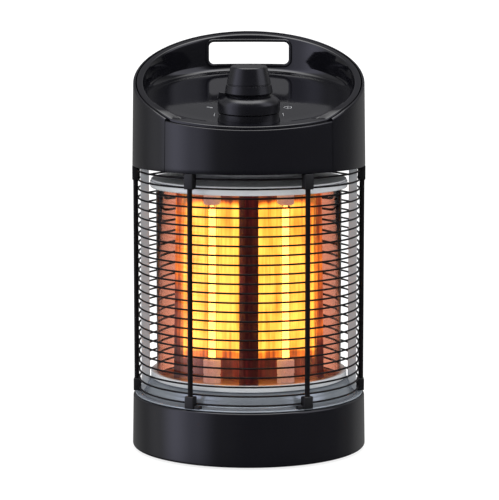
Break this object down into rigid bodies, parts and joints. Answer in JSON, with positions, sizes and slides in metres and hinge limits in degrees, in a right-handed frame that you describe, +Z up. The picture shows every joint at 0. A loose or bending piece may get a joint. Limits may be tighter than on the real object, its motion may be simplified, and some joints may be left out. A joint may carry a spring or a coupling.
{
  "type": "outdoor heater",
  "caption": "Round tabletop patio heater with lamps in a glass tube behind a ring-wire guard, a sloped deck with a rotary knob and a carry-handle slot.",
  "frame": {"origin": "centre of the circle of the four rubber feet, on the surface the heater stands on", "axes": "+Z up, -Y towards the front (knob and low lip), +X to the right seen from the front"},
  "size_m": [0.2836, 0.2836, 0.5003],
  "materials": {
    "housing_gloss": "high gloss moulded",
    "inner_black": "satin",
    "knob_plastic": "satin gloss",
    "phenolic": "matte",
    "zinc_screw": "zinc plated",
    "clip_plastic": "satin moulded",
    "foot_rubber": "matte",
    "polished_reflector": "mirror polished",
    "dish_steel": "bright rolled",
    "collar_aluminium": "bright anodised",
    "post_steel": "plated",
    "guard_wire": "satin powder coat",
    "heat_glass": "clear",
    "quartz_lamp": "lit quartz tube with ceramic ends"
  },
  "bodies": {
    "root": {"base_cover": "inner_black", "base_shell": "housing_gloss", "cable_inlet": "inner_black", "control_deck": "housing_gloss", "cover_screw_1": "zinc_screw", "cover_screw_2": "zinc_screw", "cover_screw_3": "zinc_screw", "cover_screw_4": "zinc_screw", "front_panel": "housing_gloss", "glass_cylinder": "heat_glass", "guard_cage": "guard_wire", "housing_floor": "inner_black", "lamp_front_left": "quartz_lamp", "lamp_front_right": "quartz_lamp", "lamp_pedestal": "dish_steel", "lamp_rear_left": "quartz_lamp", "lamp_rear_right": "quartz_lamp", "lower_clip_1": "clip_plastic", "lower_clip_2": "clip_plastic", "lower_clip_3": "clip_plastic", "lower_clip_4": "clip_plastic", "lower_clip_5": "clip_plastic", "lower_clip_6": "clip_plastic", "lower_dish": "dish_steel", "lower_glass_collar": "collar_aluminium", "lower_lamp_plate": "collar_aluminium", "pendulum_pin": "post_steel", "post_left": "post_steel", "post_right": "post_steel", "post_screw_left": "zinc_screw", "post_screw_right": "zinc_screw", "rear_housing": "housing_gloss", "reflector_front_left": "polished_reflector", "reflector_front_right": "polished_reflector", "reflector_rear_left": "polished_reflector", "reflector_rear_right": "polished_reflector", "rotary_switch": "phenolic", "rubber_foot_1": "foot_rubber", "rubber_foot_2": "foot_rubber", "rubber_foot_3": "foot_rubber", "rubber_foot_4": "foot_rubber", "terminal_block": "phenolic", "tilt_switch_case": "inner_black", "upper_cap": "collar_aluminium", "upper_clip_1": "clip_plastic", "upper_clip_2": "clip_plastic", "upper_clip_3": "clip_plastic", "upper_clip_4": "clip_plastic", "upper_clip_5": "clip_plastic", "upper_clip_6": "clip_plastic", "upper_glass_collar": "collar_aluminium", "upper_lamp_plate": "collar_aluminium", "wire_conduit": "dish_steel"},
    "knob": {"control_knob": "knob_plastic", "switch_shaft": "post_steel"},
    "pendulum": {"tilt_pendulum": "post_steel"}
  },
  "joints": [
    {"name": "knob_turn", "type": "hinge", "parent": "root", "child": "knob", "pos_m": [0, -0.083, 0.41307], "axis": [0, -0.0958, 0.9954], "range_deg": [-210, 0]},
    {"name": "tilt_swing", "type": "hinge", "parent": "root", "child": "pendulum", "pos_m": [0.055, 0, 0.0283], "axis": [0, 1, 0], "range_deg": [-30, 30]}
  ]
}
